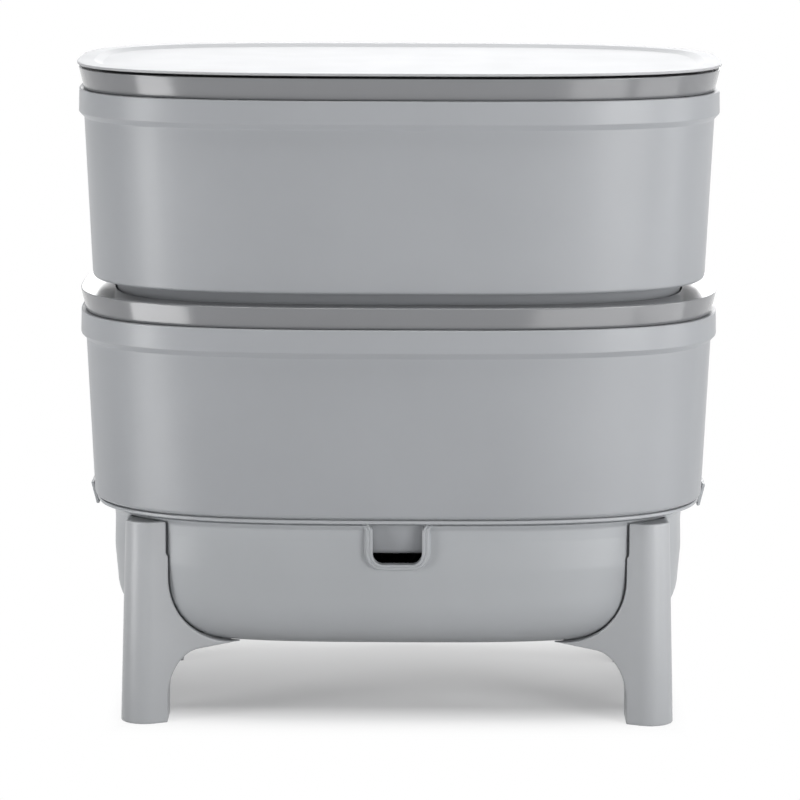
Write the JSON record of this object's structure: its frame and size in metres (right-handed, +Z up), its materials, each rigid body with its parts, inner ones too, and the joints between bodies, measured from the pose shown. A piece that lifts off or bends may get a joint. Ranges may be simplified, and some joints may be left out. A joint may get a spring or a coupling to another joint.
{
  "type": "wormery",
  "caption": "Rounded oblong stacking wormery: perforated trays with flared collars and a flat lid over a sump bowl on legs, with a pouring notch and a drain tap.",
  "frame": {"origin": "middle of the footprint, on the floor under the four legs", "axes": "+X to the right along the width and -Y towards the front with the pouring notch, +Z up"},
  "size_m": [0.515, 0.33, 0.5219],
  "materials": {
    "base_plastic": "satin moulded grey",
    "leg_plastic": "satin moulded grey",
    "tray_plastic": "fine satin grey",
    "collar_plastic": "polished darker grey",
    "lid_plastic": "satin pale grey",
    "tap_plastic": "black moulded",
    "tap_rubber": "black rubber",
    "screw_steel": "turned"
  },
  "bodies": {
    "base_unit": {"base": "base_plastic", "front_right_leg": "leg_plastic", "front_left_leg": "leg_plastic", "rear_right_leg": "leg_plastic", "rear_left_leg": "leg_plastic", "front_right_leg_screw": "screw_steel", "front_left_leg_screw": "screw_steel", "rear_right_leg_screw": "screw_steel", "rear_left_leg_screw": "screw_steel", "tap_body": "tap_plastic", "tap_washer": "tap_rubber", "tap_nut": "tap_plastic"},
    "tap_valve": {"tap_plug": "tap_plastic", "tap_plug_ring": "tap_rubber", "tap_handle": "tap_plastic"},
    "lower_storey": {"lower_tray": "tray_plastic", "lower_tray_collar": "collar_plastic"},
    "upper_storey": {"upper_tray": "tray_plastic", "upper_tray_collar": "collar_plastic"},
    "cover": {"lid": "lid_plastic"}
  },
  "joints": [
    {"name": "tap_turn", "type": "hinge", "parent": "base_unit", "child": "tap_valve", "pos_m": [0, 0.151, 0.0812], "axis": [0, 0, 1], "range_deg": [0, 90]},
    {"name": "lower_tray_lift", "type": "slide", "parent": "base_unit", "child": "lower_storey", "axis": [0, 0, 1], "range_m": [0, 0.12]},
    {"name": "upper_tray_lift", "type": "slide", "parent": "lower_storey", "child": "upper_storey", "axis": [0, 0, 1], "range_m": [0, 0.12]},
    {"name": "lid_lift", "type": "slide", "parent": "upper_storey", "child": "cover", "axis": [0, 0, 1], "range_m": [0, 0.1]}
  ]
}
